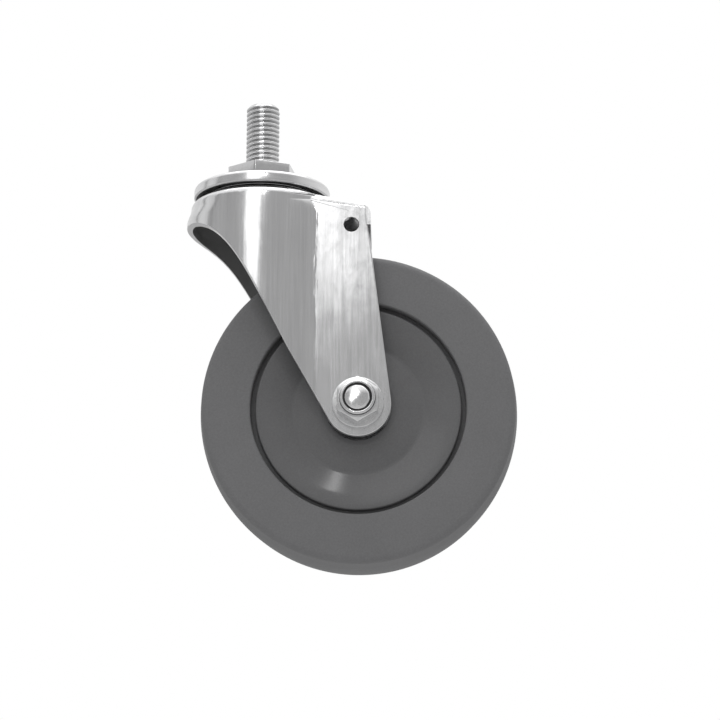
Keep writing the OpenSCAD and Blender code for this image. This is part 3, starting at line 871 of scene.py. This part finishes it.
def studioWorld(levels):
    # what polished metal mirrors, by the direction round the castor and by height
    world = bpy.data.worlds.new("studioWorld")
    bpy.context.scene.world = world
    world.use_nodes = True
    tree = world.node_tree
    tree.nodes.clear()
    ray = tree.nodes.new("ShaderNodeLightPath").outputs
    way = splitVector(tree, tree.nodes.new("ShaderNodeTexCoord").outputs["Generated"])
    around = mathNode(tree, "ARCTAN2", way["X"], mathNode(tree, "MULTIPLY", way["Y"], -1.0))
    walls = ramp(tree, spread(tree, around, 0.0, 1.0, -math.pi, math.pi),
                 [((degrees + 180) / 360, (grey,) * 3) for degrees, grey in levels["around"]])
    height = spread(tree, way["Z"], 0.0, 1.0, *levels["ceilingFrom"])
    mirrored = tree.nodes.new("ShaderNodeBackground")
    tree.links.new(blendColours(tree, height, walls, levels["ceiling"]),
                   mirrored.inputs["Color"])
    lit = mixShaders(tree, ray["Is Glossy Ray"], plainBackground(tree, levels["diffuse"]),
                     mirrored.outputs[0])
    seen = mathNode(tree, "MAXIMUM", ray["Is Camera Ray"], ray["Is Transmission Ray"])
    shown = mixShaders(tree, seen, lit, plainBackground(tree, levels["white"]))
    tree.links.new(shown, tree.nodes.new("ShaderNodeOutputWorld").inputs["Surface"])


studioWorld(room)

# in metres, and its glow keeps the floor white for the camera
floor = {"reach": 60.0, "height": -0.62, "grey": 0.85, "roughness": 0.9, "glow": 0.78}
floorMaterial, floorTree, floorShader = newMaterial("paleFloor", 0.0, floor["roughness"])
floorShader.inputs["Base Color"].default_value = (floor["grey"],) * 3 + (1,)
glow = floorTree.nodes.new("ShaderNodeEmission")
cameraRay = floorTree.nodes.new("ShaderNodeLightPath").outputs["Is Camera Ray"]
floorLook = mixShaders(floorTree, mathNode(floorTree, "MULTIPLY", cameraRay, floor["glow"]),
                       floorShader.outputs[0], glow.outputs[0])
floorTree.links.new(floorLook, floorTree.nodes["Material Output"].inputs["Surface"])
floorMesh = bpy.data.meshes.new("floor")
floorMesh.from_pydata([
    (x * floor["reach"], y * floor["reach"], floor["height"])
    for x, y in ((-1, -1), (1, -1), (1, 1), (-1, 1))], [], [(0, 1, 2, 3)])
floorMesh.materials.append(floorMaterial)
floorPiece = bpy.data.objects.new("floor", floorMesh)
bpy.context.scene.collection.objects.link(floorPiece)

bpy.context.scene.view_settings.view_transform = "Standard"

# place in metres, lens and sensor in millimetres
photoCamera = {
    "place": (0.0588, -0.9301, -0.3181), "right": (0.9998, 0.0188, 0.0030),
    "back": (0.0190, -0.9688, -0.2472), "lens": 118.6, "sensor": 36.0, "clipStart": 0.05}
cameraData = bpy.data.cameras.new("photoCamera")
cameraData.sensor_width = photoCamera["sensor"]
cameraData.lens = photoCamera["lens"]
cameraData.clip_start = photoCamera["clipStart"]
camera = bpy.data.objects.new("photoCamera", cameraData)
bpy.context.scene.collection.objects.link(camera)
back = Vector(photoCamera["back"]).normalized()
right = Vector(photoCamera["right"])
right = (right - back * right.dot(back)).normalized()
axes = Matrix((right, back.cross(right), back)).transposed().to_4x4()
camera.matrix_world = Matrix.Translation(photoCamera["place"]) @ axes
bpy.context.scene.camera = camera
print("studio and camera made")
